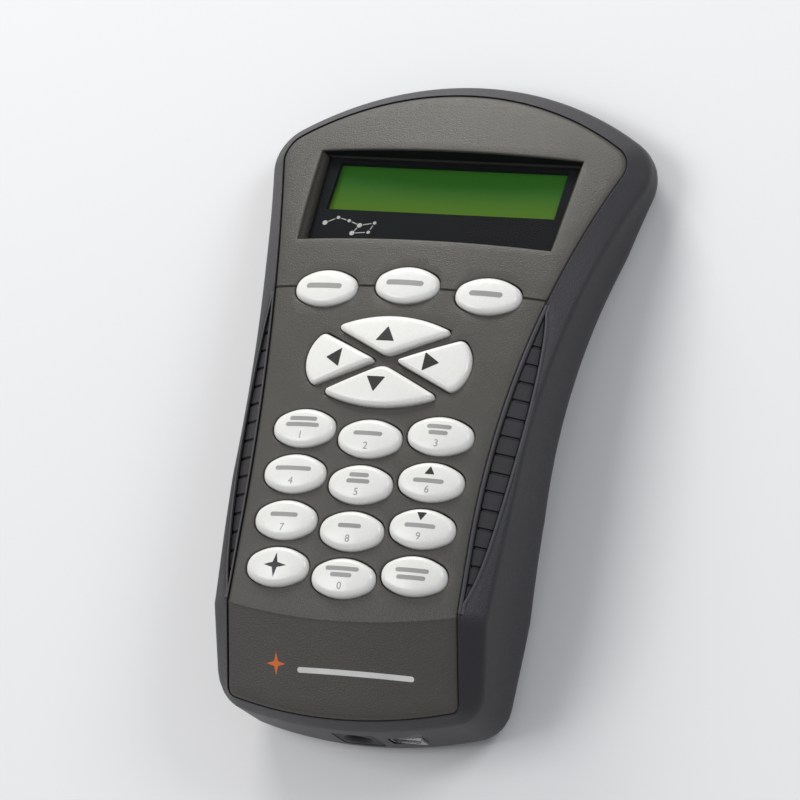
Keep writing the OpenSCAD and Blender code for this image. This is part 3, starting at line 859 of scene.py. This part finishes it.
def window_loop(w, grow=0.0):
    """The display window at height w above the lens, in the lens's frame. Its walls flare out."""
    flare = WINDOW_SLOPE * max(0, w) + grow
    h = WINDOW_H / 2 + grow
    low, high = WINDOW_HALF[0] + flare, WINDOW_HALF[1] + flare
    corners = np.array([(-low, -h), (low, -h), (high, h), (-high, h)])
    points = []
    for p, q, n in zip(corners, np.roll(corners, -1, 0), WINDOW_STEPS):
        points.extend(p + (q - p) * np.linspace(0, 1, n, endpoint=False)[:, None])
    return np.array(points)


def lens_to_cad(points, w):
    """Points of the lens's frame, at height w above the lens, in the CAD's frame."""
    tilt = math.radians(-LENS_TILT)
    w = np.broadcast_to(w, len(points))
    y = points[:, 1] * math.cos(tilt) - w * math.sin(tilt)
    z = points[:, 1] * math.sin(tilt) + w * math.cos(tilt)
    return np.column_stack([points[:, 0], LENS_ORIGIN[1] + y, LENS_ORIGIN[2] + z])


def window_rim():
    """Where the window's flared walls meet the face: found point by point along each wall's slope."""
    low, high = window_loop(0), window_loop(8)
    a, b = lens_to_cad(low, 0), lens_to_cad(high, 8)
    t0, t1 = np.zeros(len(a)), np.ones(len(a))
    for _ in range(40):
        t = (t0 + t1) / 2
        p = a + (b - a) * t[:, None]
        below = p[:, 2] < face_z(p[:, 0], p[:, 1])
        t0, t1 = np.where(below, t, t0), np.where(below, t1, t)
    return a + (b - a) * t0[:, None]


def key_holes():
    """Openings of the keys in the face, in plan."""
    tilt = math.radians(BOARD_TILT)
    holes = []
    for _, x, y in OVAL_KEYS:
        length, height = KEY_LEN + 2 * KEY_GAP, KEY_H + 2 * KEY_GAP
        holes.append(oval(length, height, KEY_END_R + KEY_GAP, OVAL_POINTS) + [x, y])
    for d in PAD_ARROWS:
        holes.append(pad_quarter(d, KEY_GAP) * [1, math.cos(tilt)] + [0, PAD_Y])
    return holes


def build_front_shell():
    """The face, with its rounded edges, key openings, groove and window."""
    hole_r, edge_r, rim_r = 0.35, 1.0, 0.5
    # no key's opening reaches further than this from its middle, and no part of the window
    hole_reach, window_reach = 22, 20
    solid = Solid()
    outer = outline(FACE)
    holes = key_holes()
    rim = window_rim()
    window = rim[:, :2]

    def height(xy):
        x, y = xy[:, 0], xy[:, 1]
        z = face_z(x, y) - fillet(distance(xy, outer), edge_r)
        for hole in holes:
            near = np.abs(xy - hole.mean(0)).max(1) < hole_reach
            z[near] -= fillet(distance(xy[near], hole), hole_r)
        near = np.abs(y - window[:, 1].mean()) < window_reach
        z[near] -= fillet(distance(xy[near], window), rim_r)
        across = np.abs(y - groove_y(x))
        return z - GROOVE_DEPTH * np.clip(1 - across / GROOVE_HALF, 0, 1)

    rings = [offset(outer, -d) for d in bevel_steps(edge_r)]
    rings += [offset(h, d) for h in holes for d in bevel_steps(hole_r, 3)]
    rings += [offset(window, d) for d in bevel_steps(rim_r)]
    x = np.linspace(-33, 33, 45)
    groove = [np.column_stack([x, groove_y(x) + s]) for s in (-GROOVE_HALF, 0, GROOVE_HALF)]
    x = np.linspace(-27.5, 27.5, 30)
    crease = [np.column_stack([x, crease_y(x) + s]) for s in (-0.8, -0.45, -0.2, 0, 0.2, 0.45, 0.8)]
    top = solid.fill(outer, [window, *holes], height, 2.2, rings, groove + crease)
    wide = offset(window, 1.5)
    under = solid.fill(outer, [wide, *holes], lambda xy: face_z(*xy.T) - FACE_T, 4)
    for a, b in zip([top[0], *top[2:]], [under[0], *under[2:]]):
        solid.bridge(a, b)
    # walls of the window: down to the lens, round its edge and back up outside
    ring_top = np.array([solid.points[i] for i in top[1]])
    lens_level = lens_to_cad(window_loop(0), 0)
    steps = [ring_top + (lens_level - ring_top) * t for t in (0.5, 1)]
    seat = lens_to_cad(window_loop(0), -1)
    skirt = lens_to_cad(window_loop(0, 2), -1)
    wall = solid.loft([*steps, seat, skirt])
    solid.bridge(top[1], wall[0])
    solid.bridge(wall[-1], under[1])
    upper_start = WINDOW_STEPS[0] + WINDOW_STEPS[1]
    upper = slice(upper_start, upper_start + WINDOW_STEPS[2] + 1)
    # the window's upper wall gets a thin black sheet, a painted shadow
    build_window_painted_shadow(ring_top[upper], lens_level[upper])
    solid.make("face_panel", "case", "face_plastic", ["front_shell"])


def build_window_painted_shadow(rim, foot):
    """A thin black sheet on the window's upper wall: painted shadow, standing for the shade that falls on
    that wall.
    """
    front, back = [0, -0.05, 0], [0, 0.15, 0]
    top = rim + (foot - rim) * 0.06
    solid = Solid()
    rings = [np.array([a + front, b + front, b + back, a + back]) for a, b in zip(top, foot)]
    solid.closed_loft(rings)
    solid.make("window_painted_shadow", "case", "black_plastic")


# ---- back shell and grips ----


def palm_z(y):
    """Height of the back over the resting surface, with softened edges."""
    r = (PALM_HALF ** 2 + PALM_DEPTH ** 2) / (2 * PALM_DEPTH)
    rise = PALM_DEPTH - r + np.sqrt(r * r - (y - PALM_Y) ** 2)
    return (rise + np.sqrt(rise ** 2 + 0.3 ** 2)) / 2


def leaf_width(y):
    """Width of a grip along its length."""
    middle, half = sum(GRIP_ENDS) / 2, (GRIP_ENDS[0] - GRIP_ENDS[1]) / 2
    return GRIP_W * np.clip(1 - ((y - middle) / half) ** 2, 0, 1) ** 0.75


def smoothstep(t):
    """A soft step from 0 to 1."""
    t = np.clip(t, 0, 1)
    return t * t * (3 - 2 * t)


def hit(start, heading, loop):
    """Where a ray first meets a closed loop."""
    ahead = np.roll(loop, -1, 0) - loop
    gap = loop - start
    cross = heading[0] * ahead[:, 1] - heading[1] * ahead[:, 0]
    cross = np.where(np.abs(cross) < 1e-12, 1e-12, cross)
    t = (gap[:, 0] * ahead[:, 1] - gap[:, 1] * ahead[:, 0]) / cross
    u = (gap[:, 0] * heading[1] - gap[:, 1] * heading[0]) / cross
    t = t[(t > 0) & (u >= 0) & (u <= 1)]
    return start + heading * t.min()


def case_edge(face):
    """The case's edge beside each point of the face's edge: straight across along the grips, and square
    to the face's edge elsewhere."""
    case = outline(CASE)
    out = offset(face, 1) - face
    across = np.column_stack([np.sign(face[:, 0]), np.zeros(len(face))])
    beside = (smoothstep((45 - face[:, 1]) / 20) * smoothstep((face[:, 1] + 66) / 8))[:, None]
    beside = beside * (np.abs(face[:, 0]) > 20)[:, None]
    heading = across * beside + out * (1 - beside)
    heading /= np.linalg.norm(heading, axis=1)[:, None]
    return np.array([hit(p, d, case) for p, d in zip(face, heading)])


def build_back_shell():
    """The case: a loft from the inner floor up the wall, over the bevel with its grip pockets, and down
    the side wall and the rounded foot, then closed at the back."""
    face = outline(FACE)
    case = case_edge(face)
    span = case - face
    width = np.linalg.norm(span, axis=1)
    edge_z = face_z(face[:, 0], face[:, 1])
    y = face[:, 1]
    side = np.abs(face[:, 0]) > 20
    grip = side & (y < GRIP_ENDS[0]) & (y > GRIP_ENDS[1])
    depth = np.where(grip, POCKET_DEPTH, 0) * np.clip(leaf_width(y) / 1.2, 0, 1)
    flush = np.zeros(len(face))
    near = GRIP_NEAR * (depth > 0) + 0.42 * (depth == 0)
    tight = np.clip(width / 6, 0.1, 1)
    rim_r = np.minimum(0.9, 0.4 * width)
    leaf = near + np.where(grip, leaf_width(y) - GRIP_NEAR, 0).clip(0)

    def on_bevel(out, sink):
        """Points at a distance from the face's edge along the bevel, sunk below it."""
        t = (out / width)[:, None]
        xy = face + span * t
        return np.column_stack([xy, edge_z - BEVEL_DROP * t[:, 0] - sink])

    def at(o, z):
        """Points of an outline at a height."""
        return np.column_stack([outline(o), np.broadcast_to(z, len(face))])

    def drawn_in(d):
        """The case's edge drawn in by d, with the same points."""
        out = offset(case, 1) - case
        return case - out * d

    foot = palm_z(case[:, 1])
    rim_z = edge_z - BEVEL_DROP
    gap = flush + SEAM
    inner = inset(FACE, 1.8)
    inner_floor = palm_z(outline(inset(CASE, FLOOR_INSET))[:, 1]) + WALL
    rings = [
        at(inset(CASE, FLOOR_INSET), inner_floor),
        at(inner, np.maximum(edge_z - 7, inner_floor + 0.4)),
        at(inner, edge_z - FACE_T - LEDGE),
        np.column_stack([face + span * 0.018, edge_z - FACE_T - LEDGE]),
        on_bevel(gap, flush + LEDGE),
        on_bevel(gap + SEAM, flush + 0.06),
        on_bevel(near - 0.12, flush),
        on_bevel(near - 0.02, 0.12 * (depth > 0)),
        on_bevel(near, depth),
        on_bevel(leaf + 0.04 * tight, depth),
        on_bevel(leaf + 0.1 * tight, GRIP_SHOW * (depth > 0)),
        on_bevel(leaf + 0.62 * tight, 0.08 * (depth > 0)),
        on_bevel(leaf + 0.78 * tight, flush),
        on_bevel((leaf + 0.78 * tight + width - rim_r) / 2, flush),
    ]
    # rim between the bevel and the side wall, then the wall and the rounded foot
    for a in (0, 0.25, 0.5, 0.75, 1):
        back = rim_r * (1 - a) ** 2
        t = 1 - back / width
        sink = rim_r * a ** 2
        xy = face + span * t[:, None]
        rings.append(np.column_stack([xy, edge_z - BEVEL_DROP * t - sink]))
    wall_low = np.minimum(foot + 6, rim_z - rim_r - 0.1)
    for t in (0.25, 0.5, 0.75, 1):
        rings.append(np.column_stack([case, rim_z - rim_r + (wall_low - rim_z + rim_r) * t]))
    for a in range(15, 91, 15):
        c, s = math.cos(math.radians(a)), math.sin(math.radians(a))
        xy = drawn_in(FOOT_R * (1 - c))
        low = palm_z(xy[:, 1])
        rings.append(np.column_stack([xy, low + (wall_low - foot) * (1 - s)]))
    solid = Solid()
    numbers = solid.loft(rings)
    close_back(solid, numbers, drawn_in(FOOT_R))
    piece = solid.make("case_back", "case", "case_plastic", ["back_shell"])
    # openings for the gland and the USB socket in the end wall
    cut(piece, (0, END_Y, PORT_Z), (9.8, 9, 8.8), 1)
    cut(piece, (USB_X, END_Y, PORT_Z), (8.2, 9, 4.4), 0.5)


def plate_outline(grow, corner_r, steps):
    """Outline of the rating plate, grown by grow."""
    half, low, high = PLATE
    return rounded_box(half + grow, low - grow, high + grow, corner_r, steps)


def close_back(solid, numbers, outside):
    """Closes the back outside and the floor inside, with the screw recesses, their bosses and the plate's
    pocket. A band between two loops at the same places vanishes when the mesh is made."""
    screws = case_screws()
    plate = plate_outline(0.2, 1.4, 5)
    recesses = [circle(x, y, RECESS_R, 40) for x, y, _, _ in screws]
    made = solid.fill(outside, [plate, *recesses], lambda xy: palm_z(xy[:, 1]), 3)
    solid.bridge(numbers[-1], made[0])
    pocket = solid.loop(plate, PLATE_Z)
    solid.bridge(made[1], pocket)
    solid.cap(pocket)
    for (x, y, seat, _), recess in zip(screws, made[2:]):
        mouth = solid.loop(circle(x, y, RECESS_R, 40), 0.35)
        floor = solid.loop(circle(x, y, RECESS_R - 0.05, 40), seat)
        solid.bridge(recess, mouth)
        solid.bridge(mouth, floor)
        solid.cap(floor)
    bosses = [circle(x, y, BOSS_R, 32) for x, y, _, _ in screws[2:]]
    inner = outline(inset(CASE, FLOOR_INSET))
    floor = solid.fill(inner, bosses, lambda xy: palm_z(xy[:, 1]) + WALL, 6)
    solid.bridge(numbers[0], floor[0])
    for (x, y, _, top), boss in zip(screws[2:], floor[1:]):
        rim = solid.loop(circle(x, y, BOSS_R, 32), top)
        solid.bridge(boss, rim)
        solid.cap(rim)


def case_screws():
    """Places of the case screws: x, y, height of the seat and height of the boss."""
    x, y = corner_centre(FACE)
    return [(x, y, 3.2, 6), (-x, y, 3.2, 6), (22, -62, 6, 14), (-22, -62, 6, 14)]


def cut(piece, centre, size, corner_r):
    """Cuts a block with rounded corners, seen along Y, out of a piece."""
    half = np.array(size) / 2
    shape = rounded_box(half[0], -half[2], half[2], corner_r, 5)
    solid = Solid()
    solid.closed_loft([
        np.column_stack([shape[:, 0], np.full(len(shape), y), shape[:, 1]]) + centre
        for y in (-half[1], half[1])
    ])
    mesh = solid.mesh("cutter")
    cutter = bpy.data.objects.new("cutter", mesh)
    bpy.context.scene.collection.objects.link(cutter)
    modifier = piece.modifiers.new("cut", "BOOLEAN")
    modifier.operation = "DIFFERENCE"
    modifier.solver = "EXACT"
    modifier.object = cutter
    bpy.context.view_layer.update()
    result = bpy.data.meshes.new_from_object(piece.evaluated_get(bpy.context.evaluated_depsgraph_get()))
    piece.modifiers.clear()
    bpy.data.objects.remove(cutter)
    piece.data = result
    finish_mesh(result)


def half_at(o, y):
    """Half width of an outline on its flare or below it."""
    if y > o[1]:
        return o[0] + o[2] - math.sqrt(o[2] ** 2 - (y - o[1]) ** 2)
    return o[0] + (o[6] - o[0]) * (o[1] - y) / (o[1] - o[7])


def build_grip(side):
    """A ribbed leaf that lies in the bevel's pocket."""
    ribs = [FIRST_RIB_Y - i * RIB_PITCH for i in range(GRIP_RIBS)]
    notch = [(-0.36, 0), (-0.26, 0.4), (-0.16, 0.55), (0.16, 0.55), (0.26, 0.4), (0.36, 0)]
    stations = [(y + dy, sink) for y in ribs for dy, sink in notch]
    stations += [(y, 0.0) for y in np.linspace(GRIP_ENDS[0] - 0.5, GRIP_ENDS[1] + 0.5, 60)
                 if min(abs(y - r) for r in ribs) > 0.6]
    stations.sort()
    across = np.array([0, 0.04, 0.12, 0.3, 0.5, 0.7, 0.88, 0.96, 1])
    edge_drop = np.array([0.4, 0.1, 0.02, 0, 0, 0, 0.02, 0.1, 0.4])
    solid = Solid()
    rings = []
    for y, sink in stations:
        f, c = half_at(FACE, y), half_at(CASE, y)
        near = GRIP_NEAR + 0.04
        far = max(near + 0.1, float(leaf_width(y)))
        fade = min(1, (far - near) / 1.2)
        out = near + (far - near) * across
        top = face_z(f, y) - BEVEL_DROP * out / (c - f) - GRIP_SHOW - edge_drop * fade - sink * fade
        low = face_z(f, y) - BEVEL_DROP * out / (c - f) - 1.78
        x = side * (f + out)
        section = np.vstack([np.column_stack([x, top]), np.column_stack([x, low])[::-1]])
        rings.append(np.column_stack([section[:, 0], np.full(len(section), y), section[:, 1]]))
    solid.closed_loft(rings)
    name = "right_grip" if side > 0 else "left_grip"
    solid.make(name + "_insert", "case", "grip_rubber", [name], sharp=32)


def build_grip_highlight_bead(side, outer):
    """A slim raised bead along the inner or outer edge of a grip's pocket. Its plastic, lighter than the
    case, is a painted highlight where the edge catches the light.
    """
    section = [(-0.3, -0.25), (-0.24, 0.02), (-0.1, 0.12), (0.1, 0.12), (0.24, 0.02), (0.3, -0.25)]
    solid = Solid()
    rings = []
    for y in np.linspace(GRIP_ENDS[1] - 1.2, GRIP_ENDS[0] + 0.6, 120):
        f, c = half_at(FACE, y), half_at(CASE, y)
        leaf = float(leaf_width(y))
        out = max(leaf, GRIP_NEAR) + 0.3 if outer else GRIP_NEAR - 0.25
        ring = []
        for across, up in section:
            reach = out + across
            ring.append([side * (f + reach), y, face_z(f, y) - BEVEL_DROP * reach / (c - f) + up])
        rings.append(np.array(ring))
    solid.closed_loft(rings)
    name = ("right" if side > 0 else "left") + ("_outer" if outer else "_inner") + "_grip_highlight_bead"
    # the lighter plastic paints the highlight along the pocket's edge
    solid.make(name, "case", "case_plastic", material="edge_highlight_plastic")


# ---- small parts ----


def build_rating_plate():
    """A thin blank plate with rounded corners and a soft edge."""
    solid = Solid()
    edge = plate_outline(0, 1.3, 6)
    edge_r = 0.12
    under = solid.fill(edge, [], lambda xy: 0.14 + fillet(distance(xy, edge), edge_r), 5,
                       [offset(edge, -d) for d in bevel_steps(edge_r, 3)])[0]
    top = solid.loop(edge, PLATE_Z)
    solid.bridge(under, top)
    solid.cap(top)
    solid.make("blank_plate", "case", "plate_silver", ["rating_plate"])


def build_gland():
    """Rubber gland: a rounded block with a lipped round hole, and its flange behind the wall."""
    along = Matrix.Rotation(math.radians(90), 4, "X")
    solid = Solid()
    front = -END_Y - 0.15
    edge_r = 0.4

    def block(half, corner_r):
        return rounded_box(half[0], -half[1], half[1], corner_r, 6) + [0, PORT_Z]

    def ring(r):
        return circle(0, PORT_Z, r, 48)

    body = block(GLAND_HALF, 1)
    flange = block(FLANGE_HALF, 1.4)
    made = solid.fill(body, [ring(INLET_R + 0.8)], lambda xy: front - fillet(distance(xy, body), edge_r),
                      1.5, [offset(body, -d) for d in bevel_steps(edge_r)])
    hole = [made[1]]
    for r, depth in ((INLET_R + 0.5, 0.12), (INLET_R + 0.15, 0.5), (INLET_R, 1), (INLET_R, GLAND_LEN)):
        hole.append(solid.loop(ring(r), front - depth))
    outside = [made[0]]
    for shape, depth in ((body, 4.2), (flange, 4.3), (flange, 5.8), (body, 5.9), (body, GLAND_LEN)):
        outside.append(solid.loop(shape, front - depth))
    for loops in (hole, outside):
        for a, b in zip(loops, loops[1:]):
            solid.bridge(a, b)
    back = solid.fill(body, [ring(INLET_R)], lambda xy: np.full(len(xy), front - GLAND_LEN), 3)
    solid.bridge(outside[-1], back[0])
    solid.bridge(hole[-1], back[1])
    solid.make("cord_inlet_gland", "case", "gland_rubber", ["cord_gland"], place=along)


def build_marks():
    """Generic marks in place of wording: a spark and a line on the lower panel, and a chain of stars
    behind the window."""
    build_panel_mark("panel_spark", [star(-14.5, -63.2, 2.3)], "spark_mark")
    build_panel_mark("panel_line", [bar(4.2, -64.2, 27, 1.1)], "panel_mark")
    frame_w, link_half, link_gap = -1.05, 0.1, 0.75
    stars = [(-26.4, -5.4), (-23.6, -3.9), (-20.8, -4.6), (-18, -5.7), (-14.6, -4.9), (-15.4, -7.4),
             (-19.2, -7.8)]
    dots = [circle(*p, 0.42 if i % 3 else 0.6, 12) for i, p in enumerate(stars)]
    chain = stars + [stars[3]]
    lines = []
    for p, q in zip(chain, chain[1:]):
        p, q = np.array(p), np.array(q)
        d = (q - p) / np.linalg.norm(q - p)
        n = np.array([-d[1], d[0]]) * link_half
        p, q = p + d * link_gap, q - d * link_gap
        lines.append(np.array([p - n, q - n, q + n, p + n]))
    decal("window_stars", dots + lines, lambda xy: np.full(len(xy), frame_w), "case", "panel_mark",
          ON_LENS, 2)


def build_panel_mark(name, loops, slot):
    """A printed mark on the lower panel."""
    decal(name, loops, lambda xy: face_z(*xy.T), "case", slot, Matrix.Identity(4), 1.5)


# ---- camera, light and floor ----


def add_camera():
    """The camera looks down at the handset from its right, a little from below, and is rolled."""
    turn, lift, roll = math.radians(25.0), math.radians(-14.0), math.radians(9.84)
    away, shift = 1.508, Vector((0.0015, -0.002, 0.006))
    back = Vector((math.sin(turn) * math.cos(lift), math.sin(lift), math.cos(turn) * math.cos(lift)))
    right = Vector((math.cos(turn), 0, -math.sin(turn)))
    up = back.cross(right)
    low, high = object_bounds()
    place = (Vector(low) + Vector(high)) / 2 + shift + back * away
    camera = bpy.data.objects.new("camera", bpy.data.cameras.new("camera"))
    camera.data.lens = 315
    camera.data.sensor_width = 36
    camera.data.clip_start, camera.data.clip_end = 0.05, 20
    axes = Matrix((right, up, back)).transposed().to_4x4()
    camera.matrix_world = Matrix.Translation(place) @ axes @ Matrix.Rotation(roll, 4, "Z")
    bpy.context.scene.collection.objects.link(camera)
    bpy.context.scene.camera = camera


def add_area(name, place, size, power, color):
    """A rectangular light that faces the origin."""
    light = bpy.data.lights.new(name, "AREA")
    light.shape = "RECTANGLE"
    light.size, light.size_y = size
    light.energy = power
    light.color = color
    holder = bpy.data.objects.new(name, light)
    facing = Vector(place).to_track_quat("Z", "Y").to_matrix().to_4x4()
    holder.matrix_world = Matrix.Translation(place) @ facing
    bpy.context.scene.collection.objects.link(holder)


def add_studio():
    """Pale floor, a soft light beyond the head on the left, one from above and a weaker one from the
    right, and an even fill."""
    bpy.ops.mesh.primitive_plane_add(size=8, location=(0, 0, 0))
    floor = bpy.context.object
    floor.name = "floor"
    material, tree, shader = new_material("floor_paper", (0.82, 0.82, 0.82), 0.7)
    grain = add_noise(tree, 1 / (3 * MM), 3)
    add_bump(tree, shader, grain.outputs["Fac"], 0.05, 0.2)
    floor.data.materials.append(material)
    add_area("key_light", (-0.3, 0.75, 0.3), (0.4, 0.26), 4.2, (1, 0.985, 0.95))
    add_area("top_light", (-0.7, -0.1, 1.1), (0.7, 0.7), 6.5, (1, 1, 1))
    add_area("side_light", (0.75, 0.5, 0.7), (0.4, 0.4), 3.5, (0.93, 0.96, 1))
    world = bpy.data.worlds.new("studio")
    world.use_nodes = True
    background = world.node_tree.nodes["Background"]
    background.inputs["Color"].default_value = (0.94, 0.96, 1, 1)
    background.inputs["Strength"].default_value = 0.4
    scene = bpy.context.scene
    scene.world = world
    scene.view_settings.view_transform = "Standard"


add_camera()
add_studio()
paint_cad_nodes()
build_front_shell()
build_back_shell()
for side in (-1, 1):
    build_grip(side)
    for outer in (False, True):
        build_grip_highlight_bead(side, outer)
for key in OVAL_KEYS:
    build_oval_key(*key)
for direction in PAD_ARROWS:
    build_pad_key(direction)
build_rating_plate()
build_gland()
build_marks()
